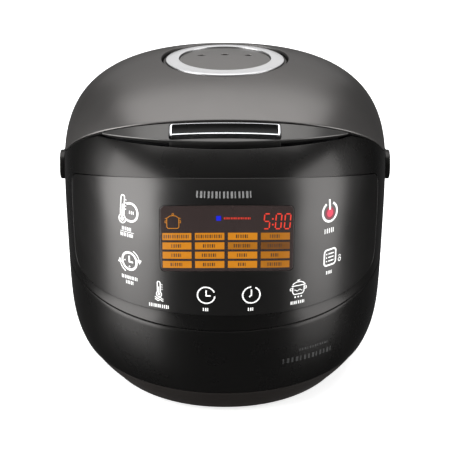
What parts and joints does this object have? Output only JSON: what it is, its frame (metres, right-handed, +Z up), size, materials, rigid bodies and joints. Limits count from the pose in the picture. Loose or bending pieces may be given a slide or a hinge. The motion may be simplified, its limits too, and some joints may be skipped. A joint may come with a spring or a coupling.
{
  "type": "electric multicooker",
  "caption": "Domed electric multicooker with hinged lid, touch panel with lit display, steam valve, release button, lift-out bowl, heating plate and folding carry handle.",
  "frame": {"origin": "on the floor, under the middle of the bounding box", "axes": "+Z up, +Y to the back, +X to the right seen from the front"},
  "size_m": [0.2922, 0.3752, 0.2668],
  "materials": {
    "body_finish": "dark grey metallic satin lacquer",
    "lid_finish": "mid grey metallic satin lacquer",
    "panel_finish": "dark grey metallic, printed touch panel",
    "base_plastic": "brown-black moulded plastic",
    "inner_plastic": "dark moulded plastic",
    "gloss_black": "polished black",
    "chrome": "bright plated",
    "steel": "plain",
    "aluminium": "spun",
    "bowl_coating": "non-stick coated",
    "silicone": "translucent grey silicone",
    "foot_rubber": "matt",
    "circuit_board": "green solder mask",
    "clear_plastic": "smoky clear"
  },
  "bodies": {
    "base": {"base_screw_1": "steel", "base_screw_2": "steel", "base_screw_3": "steel", "base_screw_4": "steel", "base_tray": "base_plastic", "bowl_deck": "inner_plastic", "capacitor": "inner_plastic", "control_board": "circuit_board", "control_panel": "panel_finish", "cooking_bowl": "bowl_coating", "display_module": "inner_plastic", "display_window": "gloss_black", "foot_1": "foot_rubber", "foot_2": "foot_rubber", "foot_3": "foot_rubber", "foot_4": "foot_rubber", "handle_pivot_left": "inner_plastic", "handle_pivot_right": "inner_plastic", "heating_plate": "aluminium", "hinge_bracket": "body_finish", "hinge_pin": "steel", "inlet_pin_1": "steel", "inlet_pin_2": "steel", "inlet_pin_3": "steel", "inlet_socket": "base_plastic", "inner_chamber": "aluminium", "latch_pin": "steel", "lid_spring": "steel", "lower_shell": "body_finish", "power_board": "circuit_board", "relay": "inner_plastic", "sensor_holder": "steel", "sensor_spring": "steel", "side_heater": "steel", "thermal_fuse": "steel", "transformer": "inner_plastic", "upper_shell": "body_finish"},
    "lid": {"lid_shell": "lid_finish", "lid_liner": "inner_plastic", "lid_seal": "silicone", "inner_lid_plate": "aluminium", "steam_duct": "silicone", "lid_catch": "steel"},
    "valve": {"valve_ring": "chrome", "valve_cover": "lid_finish", "valve_cup": "inner_plastic", "valve_gasket": "silicone"},
    "button": {"button_frame": "chrome", "button_insert": "gloss_black"},
    "latch": {"latch_hook": "inner_plastic"},
    "sensor": {"thermal_sensor": "aluminium"},
    "handle": {"carry_handle": "body_finish"},
    "cup": {"drip_cup": "clear_plastic"}
  },
  "joints": [
    {"name": "lid_hinge", "type": "hinge", "parent": "base", "child": "lid", "pos_m": [0, 0.15002, 0.19], "axis": [-1, 0, 0], "range_deg": [0, 92]},
    {"name": "handle_hinge", "type": "hinge", "parent": "base", "child": "handle", "pos_m": [0, -0.01462, 0.166], "axis": [-1, 0, 0], "range_deg": [-98, 0]},
    {"name": "button_press", "type": "slide", "parent": "base", "child": "button", "axis": [0, 0, -1], "range_m": [0, 0.0035], "stiffness_N_per_m": 500, "springref_m": -0.003},
    {"name": "latch_swing", "type": "hinge", "parent": "base", "child": "latch", "pos_m": [0, -0.14012, 0.21324], "axis": [1, 0, 0], "range_deg": [0, 21]},
    {"name": "valve_lift", "type": "slide", "parent": "lid", "child": "valve", "axis": [0, -0.0219, 0.9998], "range_m": [0, 0.045]},
    {"name": "sensor_press", "type": "slide", "parent": "base", "child": "sensor", "axis": [0, 0, -1], "range_m": [0, 0.004], "stiffness_N_per_m": 400, "springref_m": -0.002, "deforming": ["sensor_spring"]},
    {"name": "drip_cup_slide", "type": "slide", "parent": "base", "child": "cup", "axis": [0, 1, 0], "range_m": [0, 0.04]}
  ],
  "couplings": [
    {"joint": "latch_swing", "follows": "button_press", "rad_per_m": 100}
  ]
}
